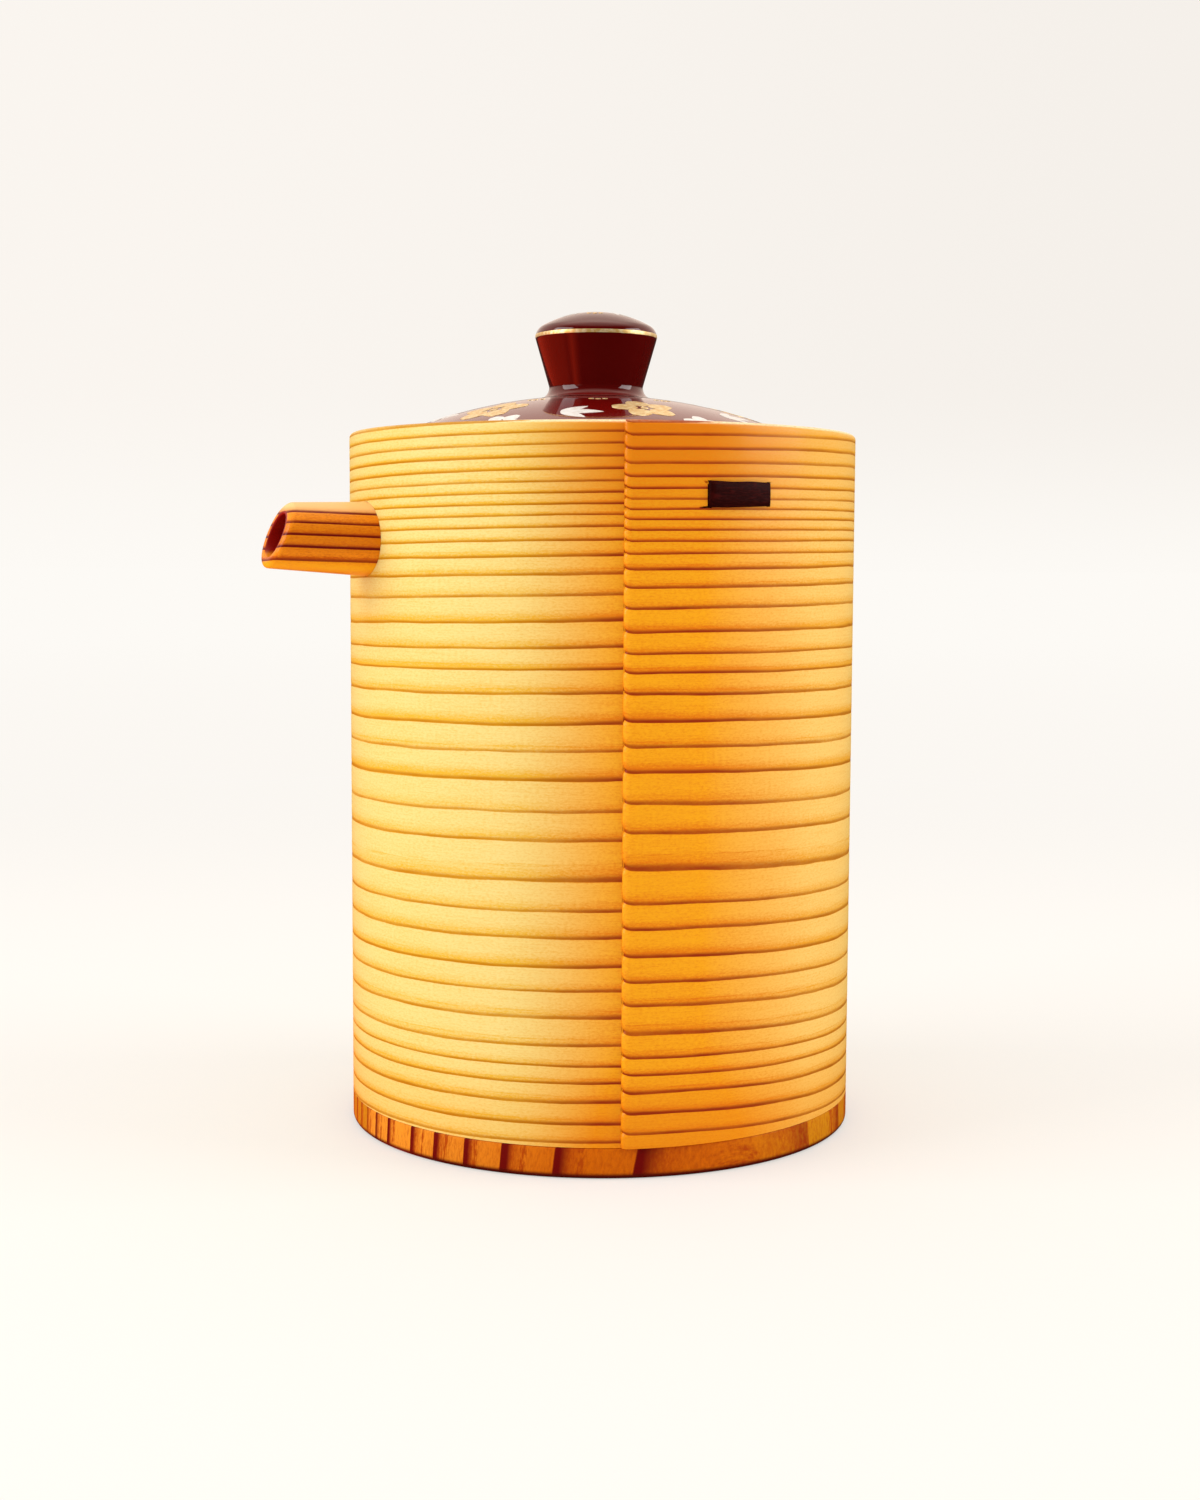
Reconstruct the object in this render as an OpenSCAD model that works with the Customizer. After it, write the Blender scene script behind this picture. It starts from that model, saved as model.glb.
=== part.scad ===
// Lidded bentwood caddy with a pouring spout.
// Millimetres, +Z up. The origin is the centre of the resting face and the spout points along -X.
// Directions round the body are degrees from +X, counterclockwise seen from above.

/* [Side board] */
// Outside diameter of the bent side board and of the base
body_d = 90; // [80:1:120]
// Height of the rim above the resting face
body_h = 122.6; // [100:0.1:160]
// Thickness of the side board
wall_t = 3.5; // [2.5:0.1:5]
// Rounding of the rim's two edges
rim_round = 0.9; // [0.2:0.1:1.2]

/* [Lap joint] */
// Direction of the outer edge of the lap
lap_az = -112; // [-125:1:-105]
// Length of the lap round the outside
lap_len = 40; // [32:1:50]
// Step that the board's outer end leaves
lap_step = 0.9; // [0.3:0.1:1.3]

/* [Bark stitch] */
// Depth of the stitch's middle below the rim
stitch_drop = 11.6; // [11.4:0.1:14]
// Length of the stitch on the outside
stitch_len = 12; // [8:0.5:16]
// Width of the bark strip
bark_w = 4.2; // [2.5:0.1:4.5]
// Thickness of the bark strip
bark_t = 0.6; // [0.4:0.1:0.9]

/* [Base] */
// Height of the base's visible edge
base_edge = 5.2; // [4:0.1:8]
// Height of the plug inside the side board
plug_h = 3.6; // [2:0.1:6]
// Rounding of the bottom edge
base_round = 0.9; // [0.3:0.1:1.5]

/* [Lid ledge] */
// Depth of the ledge's top below the rim
ledge_drop = 4.8; // [3:0.1:5]
// Height of the ledge ring
ledge_h = 3.8; // [2.5:0.1:4]
// Width of the ledge ring
ledge_w = 4.6; // [4:0.1:7]

/* [Spout] */
// Depth of the spout's axis below the rim, at the side board
spout_drop = 18.7; // [17.5:0.1:40]
// Outside diameter at the side board
spout_root_d = 12.6; // [11:0.1:14]
// Outside diameter at the mouth
spout_tip_d = 10.9; // [9.5:0.1:12]
// Diameter of the bore
spout_bore_d = 7.2; // [5:0.1:8]
// Length of the lower side, outside the side board
spout_len = 18; // [12:0.5:30]
// How far the spout stands inside the side board
spout_stub = 1; // [0.5:0.1:3]
// Rise of the axis from level, in degrees
spout_rise = 1.5; // [0:0.5:8]
// Slant of the mouth from square, in degrees
mouth_slant = 20; // [0:1:30]

/* [Lid] */
// Play between the lid and the side board, all round
lid_play = 1.6; // [1.4:0.1:2.5]
// Height of the lid's straight edge
lid_edge = 2.6; // [2:0.1:4]
// Radius of the domed top
dome_r = 91; // [75:1:140]
// Thickness of the dome
lid_t = 4; // [3.5:0.1:5]
// Depth of the locating collar below the ledge's top
collar_h = 4; // [2:0.1:6]
// Thickness of the locating collar
collar_t = 2; // [1.5:0.1:3]
// Play between the collar and the ledge, all round
collar_play = 1.7; // [1.4:0.1:2.5]
// How far the loose lid lies off the body's axis
lid_shift = 1.2; // [0:0.1:1.3]
// Direction in which it lies off the axis
lid_shift_az = 153; // [120:1:240]

/* [Knob] */
// Height of the knob above the lid's crown
knob_h = 14.8; // [12:0.1:20]
// Diameter of the brim
knob_d = 21.6; // [19:0.1:26]
// Diameter of the neck
neck_d = 16.7; // [12:0.1:17.5]
// Radius of the domed cap
cap_r = 20; // [15:1:40]
// Rounding of the brim
brim_round = 1.6; // [0.8:0.1:2]
// Radius of the flare at the foot
foot_flare = 2.2; // [1:0.1:3]
// Diameter of the tenon
tenon_d = 7; // [5:0.1:9]
// Length of the tenon in the lid
tenon_len = 3; // [2:0.1:3]

/* [Fits] */
// Width of a glue line
glue_gap = 0.05; // [0.02:0.01:0.1]
// Play of the bark strip in its slots
slot_play = 0.1; // [0.05:0.05:0.2]

/* [Hidden] */
$fn = 96;
reach = 2 * body_d;
over = 1;

body_r = body_d / 2;
inner_r = body_r - wall_t;

// The lap runs from lap_az, where its outside stands lap_step proud, to lap_end, where it runs
// smoothly into the body's. Its outside is an arc that touches the body's there: its radius lap_r is
// lap_back more, and its axis lies as far back. Whole microns keep the two arcs in touch exactly.
lap_angle = lap_len / body_r * 180 / PI;
lap_end = lap_az + lap_angle;
lap_mid = lap_az + lap_angle / 2;
edge_r = body_r + lap_step;
lap_back_exact = (pow(edge_r, 2) - pow(body_r, 2)) / 2 / (body_r - edge_r * cos(lap_angle));
lap_back = round(1000 * lap_back_exact) / 1000;
lap_r = body_r + lap_back;

stitch_z = body_h - stitch_drop;
spout_z = body_h - spout_drop;
root_r = spout_root_d / 2;
tip_r = spout_tip_d / 2;

ledge_top = body_h - ledge_drop;
ledge_r = inner_r - ledge_w;
collar_r = ledge_r - collar_play;

lid_r = inner_r - lid_play;
dome_sag = dome_r - sqrt(pow(dome_r, 2) - pow(lid_r, 2));
crown_z = ledge_top + lid_edge + dome_sag;
dome_centre = crown_z - dome_r;

knob_r = knob_d / 2;
neck_r = neck_d / 2;
foot_r = neck_r + foot_flare;
foot_z = dome_centre + sqrt(pow(dome_r, 2) - pow(foot_r, 2));
neck_z = foot_z + foot_flare;
apex_z = crown_z + knob_h;
// The rounded brim touches the domed cap from inside and the straight flank from outside.
brim_x = knob_r - brim_round;
brim_z = apex_z - cap_r + sqrt(pow(cap_r - brim_round, 2) - pow(brim_x, 2));
cap_lean = atan2(brim_z - apex_z + cap_r, brim_x);
flank_run = norm([brim_x - neck_r, brim_z - neck_z]);
flank_lean = atan2(brim_z - neck_z, brim_x - neck_r) - asin(brim_round / flank_run);
flank_len = sqrt(pow(flank_run, 2) - pow(brim_round, 2));
flank_top = [neck_r + flank_len * cos(flank_lean), neck_z + flank_len * sin(flank_lean)];

CEDAR = [0.93, 0.70, 0.36];
HEARTWOOD = [0.78, 0.44, 0.16];
BARK = [0.20, 0.05, 0.05];
LACQUER = [0.33, 0.03, 0.03];

// Turns the side board's children so that the lap's end is at +X.
module from_lap_end() {
    rotate([0, 0, lap_end]) children();
}

// The sector that the lap takes up, with margins above and below the board.
module lap_sector() {
    translate([0, 0, -over])
        linear_extrude(body_h + 2 * over)
            polygon([
                [0, 0],
                for (a = [-lap_angle, -lap_angle / 2, 0]) reach * [cos(a), sin(a)]
            ]);
}

// A round solid from z up to the rim, with its top edge rounded.
module round_solid(r, z) {
    rotate_extrude() {
        translate([0, z]) square([r, body_h - rim_round - z]);
        translate([0, z]) square([r - rim_round, body_h - z]);
        translate([r - rim_round, body_h - rim_round]) circle(rim_round);
    }
}

// The hollow of the side board, flared at the rim by the rounding of its edge.
module hollow() {
    rotate_extrude() {
        translate([0, -over]) square([inner_r, body_h + 2 * over]);
        difference() {
            translate([0, body_h - rim_round]) square([inner_r + rim_round, rim_round + over]);
            translate([inner_r + rim_round, body_h - rim_round]) circle(rim_round);
        }
    }
}

module along_spout() {
    translate([-body_r, 0, spout_z]) rotate([0, spout_rise - 90, 0]) children();
}

module at_stitch() {
    rotate([0, 0, lap_mid]) translate([0, 0, stitch_z]) children();
}

// One board bent into a hoop. Its ends are tapered and glued in a lap, where the outer end's edge
// stands a step proud.
module side_board() {
    foot = base_edge + glue_gap;
    color(CEDAR)
    difference() {
        from_lap_end() {
            difference() {
                round_solid(body_r, foot);
                lap_sector();
            }
            intersection() {
                translate([-lap_back, 0, 0]) round_solid(lap_r, foot);
                lap_sector();
            }
        }
        hollow();
        along_spout()
            translate([0, 0, -2 * wall_t]) cylinder(r = root_r + glue_gap, h = 3 * wall_t);
        at_stitch()
            for (side = [-1, 1])
                translate([
                    inner_r - wall_t,
                    side * (stitch_len - bark_t) / 2 - bark_t / 2 - slot_play,
                    -bark_w / 2 - slot_play
                ])
                    cube([3 * wall_t, bark_t + 2 * slot_play, bark_w + 2 * slot_play]);
    }
}

// A strip of cherry bark, drawn through two slots in the lap and closed on the inside.
module bark_stitch() {
    color(BARK)
    difference() {
        intersection() {
            from_lap_end()
                translate([-lap_back, 0, 0]) cylinder(r = lap_r + slot_play + bark_t, h = body_h);
            at_stitch()
                translate([0, -stitch_len / 2, -bark_w / 2])
                    cube([reach, stitch_len, bark_w]);
        }
        translate([0, 0, -over])
            cylinder(r = inner_r - slot_play - bark_t, h = body_h + 2 * over);
        intersection() {
            difference() {
                from_lap_end()
                    translate([-lap_back, 0, 0]) cylinder(r = lap_r + slot_play, h = body_h);
                translate([0, 0, -over])
                    cylinder(r = inner_r - slot_play, h = body_h + 2 * over);
            }
            at_stitch()
                translate([0, bark_t - stitch_len / 2, -bark_w])
                    cube([reach, stitch_len - 2 * bark_t, 2 * bark_w]);
        }
    }
}

// A disc whose edge shows below the side board, with a plug that the board is glued round.
module base_board() {
    color(HEARTWOOD) {
        rotate_extrude() {
            square([body_r - base_round, base_edge]);
            translate([0, base_round]) square([body_r, base_edge - base_round]);
            translate([body_r - base_round, base_round]) circle(base_round);
        }
        cylinder(r = inner_r - glue_gap, h = base_edge + plug_h);
    }
}

// A hoop glued inside the mouth, on which the lid rests.
module lid_ledge() {
    z = ledge_top - ledge_h;
    color(CEDAR)
    difference() {
        translate([0, 0, z]) cylinder(r = inner_r - glue_gap, h = ledge_h);
        translate([0, 0, z - over]) cylinder(r = ledge_r, h = ledge_h + 2 * over);
    }
}

// A tapered tube, bored through, with its mouth cut on a slant.
module spout() {
    color(HEARTWOOD)
    along_spout()
        difference() {
            union() {
                translate([0, 0, -wall_t - spout_stub]) cylinder(r = root_r, h = wall_t + spout_stub);
                cylinder(r1 = root_r, r2 = tip_r, h = spout_len);
            }
            translate([0, 0, -wall_t - spout_stub - over])
                cylinder(d = spout_bore_d, h = wall_t + spout_stub + spout_len + 2 * over);
            translate([-tip_r, 0, spout_len])
                rotate([0, mouth_slant, 0])
                    translate([-reach / 2, -reach / 2, 0]) cube(reach);
        }
}

module on_lid_axis() {
    translate(lid_shift * [cos(lid_shift_az), sin(lid_shift_az), 0]) children();
}

// A turned dome with a flat seat at its edge and a collar that keeps it in the ledge.
module lid() {
    color(LACQUER)
    on_lid_axis()
        difference() {
            union() {
                intersection() {
                    translate([0, 0, ledge_top]) cylinder(r = lid_r, h = lid_edge + dome_sag + over);
                    translate([0, 0, dome_centre]) sphere(dome_r);
                }
                translate([0, 0, ledge_top - collar_h]) cylinder(r = collar_r, h = collar_h + over);
            }
            intersection() {
                translate([0, 0, ledge_top - collar_h - over])
                    cylinder(r = collar_r - collar_t, h = collar_h + lid_edge + dome_sag + over);
                translate([0, 0, dome_centre]) sphere(dome_r - lid_t);
            }
            translate([0, 0, crown_z - tenon_len - glue_gap])
                cylinder(r = tenon_d / 2 + glue_gap, h = tenon_len + over);
        }
}

// Half of the knob's section: foot flare, straight flank, rounded brim and domed cap.
module knob_section() {
    difference() {
        translate([0, foot_z - over]) square([foot_r, neck_z - foot_z + over]);
        translate([foot_r, neck_z]) circle(foot_flare);
    }
    polygon([[0, neck_z], [neck_r, neck_z], flank_top, [brim_x, brim_z], [0, brim_z]]);
    translate([brim_x, brim_z]) circle(brim_round);
    intersection() {
        translate([0, apex_z - cap_r]) circle(cap_r);
        polygon([
            [0, brim_z], [brim_x, brim_z],
            [brim_x, brim_z] + knob_r * [cos(cap_lean), sin(cap_lean)],
            [0, brim_z + knob_r]
        ]);
    }
}

// A turned knob that seats on the dome and is glued in by its tenon.
module knob() {
    color(LACQUER)
    on_lid_axis() {
        difference() {
            rotate_extrude() knob_section();
            translate([0, 0, dome_centre]) sphere(dome_r + glue_gap);
        }
        translate([0, 0, crown_z - tenon_len]) cylinder(d = tenon_d, h = tenon_len + foot_flare);
    }
}

side_board();
bark_stitch();
base_board();
lid_ledge();
spout();
lid();
knob();
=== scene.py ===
from math import asin, atan2, cos, degrees, e, hypot, pi, radians, sin, sqrt, tan

import bmesh
import bpy
from mathutils import Matrix, Vector


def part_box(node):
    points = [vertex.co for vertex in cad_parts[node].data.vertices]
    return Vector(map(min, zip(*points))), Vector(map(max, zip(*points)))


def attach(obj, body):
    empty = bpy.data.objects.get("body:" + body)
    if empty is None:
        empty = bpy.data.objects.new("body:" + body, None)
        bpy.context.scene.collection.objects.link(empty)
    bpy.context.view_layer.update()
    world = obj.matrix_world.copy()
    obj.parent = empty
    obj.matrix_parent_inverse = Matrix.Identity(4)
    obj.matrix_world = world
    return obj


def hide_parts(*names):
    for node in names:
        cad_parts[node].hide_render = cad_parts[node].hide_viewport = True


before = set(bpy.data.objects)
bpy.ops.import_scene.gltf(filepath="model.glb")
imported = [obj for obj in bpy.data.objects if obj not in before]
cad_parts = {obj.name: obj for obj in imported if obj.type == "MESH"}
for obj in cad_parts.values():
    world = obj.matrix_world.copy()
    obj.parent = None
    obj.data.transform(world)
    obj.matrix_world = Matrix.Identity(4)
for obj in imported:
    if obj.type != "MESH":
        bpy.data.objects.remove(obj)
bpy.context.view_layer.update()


# ----------------------------------------------------------------------
# The base board. A disc of darker cedar heartwood, sawn so that its growth rings stand upright.
# Its edge shows as a band under the side board, and its plug is glued inside.

MM = 0.001
BODY_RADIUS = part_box("base_board")[1].x
WALL = 3.5 * MM
GLUE_LINE = 0.05 * MM
BASE_EDGE_HEIGHT = 5.2 * MM
BASE_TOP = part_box("base_board")[1].z
BASE_BOTTOM_ROUNDING = 0.9 * MM
BASE_TOP_ROUNDING = 0.25 * MM
TURNED_STEPS = 192


def operator(operation, flipped=False):
    """A method for a Math node of a wire and another value, or of the two the other way round."""

    def method(self, other):
        return self.tree.math(operation, *((other, self) if flipped else (self, other)))

    return method


class Wire:
    """One output socket. Arithmetic on wires adds the Math nodes that work it out."""

    __add__, __radd__ = operator("ADD"), operator("ADD", flipped=True)
    __sub__, __rsub__ = operator("SUBTRACT"), operator("SUBTRACT", flipped=True)
    __mul__, __rmul__ = operator("MULTIPLY"), operator("MULTIPLY", flipped=True)
    __truediv__, __rtruediv__ = operator("DIVIDE"), operator("DIVIDE", flipped=True)
    __pow__ = operator("POWER")
    __lt__ = operator("LESS_THAN")
    __gt__ = operator("GREATER_THAN")
    at_least = operator("MAXIMUM")
    at_most = operator("MINIMUM")

    def __init__(self, tree, socket):
        self.tree = tree
        self.socket = socket

    def __neg__(self):
        return self * -1.0

    def __abs__(self):
        return self.unary("ABSOLUTE")

    def unary(self, operation):
        """Any Math node of one value, such as SINE."""
        return self.tree.math(operation, self)

    def log(self):
        return self.tree.math("LOGARITHM", self, e)

    def rise(self, start, end, shape="SMOOTHSTEP"):
        """0 before start, 1 after end, and smooth between them."""
        ends = {"From Min": start, "From Max": end}
        return self.tree.add("ShaderNodeMapRange", {"interpolation_type": shape}, {"Value": self, **ends})

    def ramp(self, start, end):
        """0 before start, 1 after end, and straight between them."""
        return self.rise(start, end, "LINEAR")


class Tree:
    """A node tree, for a material or for geometry, that is built by expressions."""

    def __init__(self, node_tree):
        self.node_tree = node_tree

    def add(self, kind, settings, inputs, out=0):
        """Adds a node: its settings first, then a value or a wire for each input, by its identifier or
        its place. A colour is red, green and blue."""
        node = self.node_tree.nodes.new(kind)
        for name, value in settings.items():
            setattr(node, name, value)
        sockets = {socket.identifier: socket for socket in node.inputs}
        for name, value in inputs.items():
            socket = node.inputs[name] if isinstance(name, int) else sockets[name]
            if isinstance(value, Wire):
                self.node_tree.links.new(value.socket, socket)
            elif socket.type == "RGBA":
                socket.default_value = (*value, 1.0)
            else:
                socket.default_value = value
        return Wire(self, node.outputs[out] if len(node.outputs) else None)

    def math(self, operation, *values):
        return self.add("ShaderNodeMath", {"operation": operation}, dict(enumerate(values)))

    def join(self, x, y, z):
        return self.add("ShaderNodeCombineXYZ", {}, {"X": x, "Y": y, "Z": z})

    def split(self, vector):
        node = self.add("ShaderNodeSeparateXYZ", {}, {"Vector": vector}).socket.node
        return [Wire(self, node.outputs[axis]) for axis in "XYZ"]

    def blend(self, factor, first, second):
        """A colour between two colours."""
        colours = {"A_Color": first, "B_Color": second}
        return self.add("ShaderNodeMix", {"data_type": "RGBA"}, {"Factor_Float": factor, **colours}, out=2)

    def noise(self, place, scale, detail=2.0, roughness=0.5):
        """Smooth noise from 0 to 1 at a place given by three wires, with one scale or one for each."""
        scales = scale if isinstance(scale, tuple) else (scale,) * 3
        vector = self.join(*(axis * factor for axis, factor in zip(place, scales)))
        kind = {"Scale": 1.0, "Detail": detail, "Roughness": roughness}
        return self.add("ShaderNodeTexNoise", {}, {"Vector": vector, **kind})

    def chance(self, number):
        """A fixed random value from 0 to 1 for each number."""
        return self.add("ShaderNodeTexWhiteNoise", {"noise_dimensions": "1D"}, {"W": number})

    def here(self):
        """The point on the object, in millimetres."""
        place = self.add("ShaderNodeTexCoord", {}, {}, out=3)
        return [axis * 1000.0 for axis in self.split(place)]

    def bump(self, height, strength, distance):
        return self.add("ShaderNodeBump", {}, {"Height": height, "Strength": strength, "Distance": distance})

    def point(self):
        """Where each point of the geometry is."""
        return self.split(self.add("GeometryNodeInputPosition", {}, {}))

    def moved(self, geometry, place):
        return self.add("GeometryNodeSetPosition", {}, {"Geometry": geometry, "Position": place})

    def shape_of(self, thing):
        """The mesh of another object, as instances."""
        return self.add("GeometryNodeObjectInfo", {"transform_space": "ORIGINAL"}, {"Object": thing}, out=4)


def new_material(name, finish, **constants):
    """A material whose finish function gives the wires that vary; the constants sit on the shader."""
    material = bpy.data.materials.new(name)
    material.use_nodes = True
    tree = Tree(material.node_tree)
    shader = next(node for node in material.node_tree.nodes if node.type == "BSDF_PRINCIPLED")
    for label, value in constants.items():
        shader.inputs[label.replace("_", " ")].default_value = value
    for label, wire in finish(tree).items():
        material.node_tree.links.new(wire.socket, shader.inputs[label])
    return material


def cedar_finish(tree, ring, fibre, early, late, line, line_share=0.1, false_lines=0.5, hardness=1.0):
    """Softwood. Each ring darkens from early to late wood and ends in a narrow dark line.
    Some rings have a false line, a fainter one, part of the way across.
    fibre is the place in the board in millimetres: along the grain, across the rings and through."""
    along = fibre[0]
    ring = ring + (tree.noise(fibre, (0.06, 0.4, 0.12)) - 0.5) * 0.14
    part = ring.unary("FRACT")
    number = ring.unary("FLOOR")
    luck = tree.chance(number)
    second_luck = tree.chance(number + 0.5)
    streak = tree.noise(fibre, (0.13, 4.0, 2.5), 3.0, 0.65)
    fibres = tree.noise(fibre, (1.5, 3.6, 3.6), 2.0, 0.75)
    cloud = tree.noise(fibre, (0.04, 0.14, 0.14))
    strength = tree.noise((along, number, 0.5), (0.09, 3.7, 1.0), 2.0, 0.7)

    shade = part.rise(0.3, 1.0 - line_share) ** 2.0 * (0.5 + luck * 0.5)
    from_false_line = abs(part - (0.4 + second_luck * 0.35))
    faint = (1.0 - from_false_line * (29.0 - 10.0 * false_lines)).at_least(0.0)
    faint = faint * (second_luck > 0.8 - 0.5 * false_lines) * streak.rise(0.35, 0.65) * false_lines
    tone = shade + faint + 0.13 + (streak - 0.5) * 0.9 + (cloud - 0.5) * 0.4 + (fibres - 0.5) * 1.7
    colour = tree.blend(tone.at_least(0.0).at_most(1.0), early, late)
    edge = part.rise(1.0 - 1.9 * line_share, 1.0 - 0.55 * line_share) * (1.0 - part.rise(0.98, 1.0))
    edge = edge * (0.78 + luck * 0.22 + (strength - 0.5) * 0.8) * hardness
    colour = tree.blend(edge.at_least(0.0).at_most(1.0), colour, line)
    bump = tree.bump(streak * 0.3 + fibres * 0.25 - edge * 0.5, 0.4, 0.05 * MM)
    rough = 0.36 + streak * 0.16 + edge * 0.08
    return {"Base Color": colour, "Roughness": rough, "Normal": bump}


def arc(centre_r, centre_z, radius, start, end, pieces=8):
    """Points on an arc, in degrees from the outward direction, both ends included."""
    angles = [radians(start + (end - start) * i / pieces) for i in range(pieces + 1)]
    return [(centre_r + radius * cos(a), centre_z + radius * sin(a)) for a in angles]


def turned(name, outline, material, centre=(0.0, 0.0), steps=TURNED_STEPS, closed=False):
    """A solid of revolution. The outline runs upwards on its outside, from the axis to the axis;
    a closed outline goes round a ring."""
    mesh = bmesh.new()
    rings = []
    for radius, height in outline:
        if radius < 1e-7:
            rings.append([mesh.verts.new((centre[0], centre[1], height))])
            continue
        turn = [2 * pi * i / steps for i in range(steps)]
        ring = [(centre[0] + radius * cos(a), centre[1] + radius * sin(a), height) for a in turn]
        rings.append([mesh.verts.new(point) for point in ring])
    pairs = list(zip(rings, rings[1:])) + ([(rings[-1], rings[0])] if closed else [])
    for low, high in pairs:
        for i in range(steps):
            corners = [low[i % len(low)], low[(i + 1) % len(low)]]
            corners += [high[(i + 1) % len(high)], high[i % len(high)]]
            distinct = list(dict.fromkeys(corners))
            if len(distinct) > 2:
                mesh.faces.new(distinct)
    return finished(name, mesh, material)


def in_scene(name, data):
    """A new object of some data, in the scene and at its origin."""
    thing = bpy.data.objects.new(name, data)
    bpy.context.scene.collection.objects.link(thing)
    return thing


def from_bmesh(name, mesh):
    data = bpy.data.meshes.new(name)
    mesh.to_mesh(data)
    mesh.free()
    return in_scene(name, data)


def smoothed(piece, sharp):
    """Shades a piece smooth, except where its faces meet at more than the sharp angle."""
    piece.data.shade_smooth()
    piece.data.set_sharp_from_angle(angle=radians(sharp))
    return piece


def finished(name, mesh, material, sharp=35.0):
    piece = from_bmesh(name, mesh)
    piece.data.materials.append(material)
    return smoothed(piece, sharp)


BASE_RING_DIRECTION = radians(-86.4)
BASE_RING_WIDTH = 3.58
BASE_RING_WIDENING = 0.39
BASE_RING_LEAN = 0.08
BASE_RING_START = 6.3
# The early colours by side hold painted light: the left one is painted lit, the middle one painted shaded.
BASE_EARLY_LIT_LEFT = (0.90, 0.31, 0.02)
BASE_EARLY_SHADED_MIDDLE = (0.66, 0.14, 0.0)
BASE_EARLY_RIGHT = (0.63, 0.235, 0.002)
BASE_LATE = (0.45, 0.06, 0.0)
BASE_LINE = (0.16, 0.001, 0.0)
BASE_SHADE = (0.10, 0.003, 0.0)


def base_wood(tree):
    """The upright rings, in millimetres, get wider towards one side, and each line's sharp edge faces
    the other. The early wood is painted lighter on the left and darker in the middle, partly as light and
    shade, and the lower corner is painted dark as contact shade."""
    x, y, z = tree.here()
    outward = x * cos(BASE_RING_DIRECTION) + y * sin(BASE_RING_DIRECTION)
    along = y * cos(BASE_RING_DIRECTION) - x * sin(BASE_RING_DIRECTION)
    outward = outward - z * BASE_RING_LEAN + BASE_RING_START
    root = (outward.at_least(0.0) * (2 * BASE_RING_WIDENING) + BASE_RING_WIDTH**2).unary("SQRT")
    count = (root - BASE_RING_WIDTH) / BASE_RING_WIDENING + outward.at_most(0.0) / BASE_RING_WIDTH
    count = count + (1.0 - outward.rise(12.5, 17.5)) * 0.37 + outward.rise(29.0, 34.0) * 0.06
    side = tree.math("ARCTAN2", y, x) * (180 / pi) + 180.0
    # Early wood by side: lighter on the left and darker in the middle, partly the wood's own tone and partly
    # painted light and shade; yellower on the right.
    early = tree.blend(side.rise(10.0, 62.0), BASE_EARLY_LIT_LEFT, BASE_EARLY_SHADED_MIDDLE)
    early = tree.blend(side.rise(85.0, 120.0), early, BASE_EARLY_RIGHT)
    fibre = (along, outward, z * 0.25)
    hardness = 1.25 - side.rise(95.0, 112.0) * 0.8
    finish = cedar_finish(tree, -count, fibre, early, BASE_LATE, BASE_LINE, 0.15, 1.5, hardness)
    # The lowest millimetre or so is painted dark: painted contact shade where the base meets the floor.
    finish["Base Color"] = tree.blend(1.0 - z.rise(0.5, 1.25), finish["Base Color"], BASE_SHADE)
    return finish


base_wood_material = new_material(
    "darker cedar", base_wood, Coat_Weight=0.05, Coat_Roughness=0.2, Specular_IOR_Level=0.05
)

top_radius = BODY_RADIUS - BASE_TOP_ROUNDING
plug_radius = BODY_RADIUS - WALL - GLUE_LINE
base_outline = [(0.0, 0.0)]
base_outline += arc(BODY_RADIUS - BASE_BOTTOM_ROUNDING, BASE_BOTTOM_ROUNDING, BASE_BOTTOM_ROUNDING, -90, 0)
base_outline += arc(top_radius, BASE_EDGE_HEIGHT - BASE_TOP_ROUNDING, BASE_TOP_ROUNDING, 0, 90, 4)
base_outline += [(plug_radius, BASE_EDGE_HEIGHT)]
plug_corner = (plug_radius - BASE_TOP_ROUNDING, BASE_TOP - BASE_TOP_ROUNDING)
base_outline += arc(*plug_corner, BASE_TOP_ROUNDING, 0, 90, 4)
base_outline += [(0.0, BASE_TOP)]
base_board = turned("base_board_disc", base_outline, base_wood_material)
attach(base_board, "vessel")
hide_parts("base_board")


# ----------------------------------------------------------------------
# The side board. One straight-grained cedar board, steamed and bent into a hoop that laps over
# itself. Both ends are pared thin and glued; the outer end leaves a small rounded step.

RIM_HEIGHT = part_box("side_board")[1].z
LAP_START = radians(-112.0)
LAP_LENGTH = 40.0 * MM
LAP_ANGLE = LAP_LENGTH / BODY_RADIUS
LAP_STEP = 0.9 * MM
STEP_RADIUS = BODY_RADIUS + LAP_STEP
LAP_BACK = (STEP_RADIUS**2 - BODY_RADIUS**2) / 2 / (BODY_RADIUS - STEP_RADIUS * cos(LAP_ANGLE))
RINGS_NEAR_RIM = 0.569
RINGS_MIDDLE = 0.215
RINGS_NEAR_FOOT = 0.295
RING_TILT = 0.6
FRONT_RUN = 53.0
ROUND_RUN = 283.0

SPOUT_HEIGHT = 103.9 * MM
SPOUT_RISE = radians(1.5)
SPOUT_ROOT_RADIUS = 6.3 * MM
SPOUT_LEAN = Matrix.Rotation(SPOUT_RISE - pi / 2, 4, "Y")
SPOUT_AXIS = Matrix.Translation((-BODY_RADIUS, 0.0, SPOUT_HEIGHT)) @ SPOUT_LEAN
STITCH_HEIGHT = RIM_HEIGHT - 11.6 * MM
STITCH_LENGTH = 12.0 * MM
BARK_WIDTH = 4.2 * MM
BARK_THICKNESS = 0.6 * MM
SLOT_PLAY = 0.1 * MM
KNIFE_WIDTH = 0.3 * MM
STITCH_HEADING = LAP_START + LAP_ANGLE / 2 - 0.35 * MM / BODY_RADIUS


def soft_corner(depth, place, softness):
    """0 above a place and the depth below it under it, with a soft corner between them."""
    return (((depth - place) / softness).at_most(60.0).unary("EXPONENT") + 1.0).log() * softness


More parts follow.
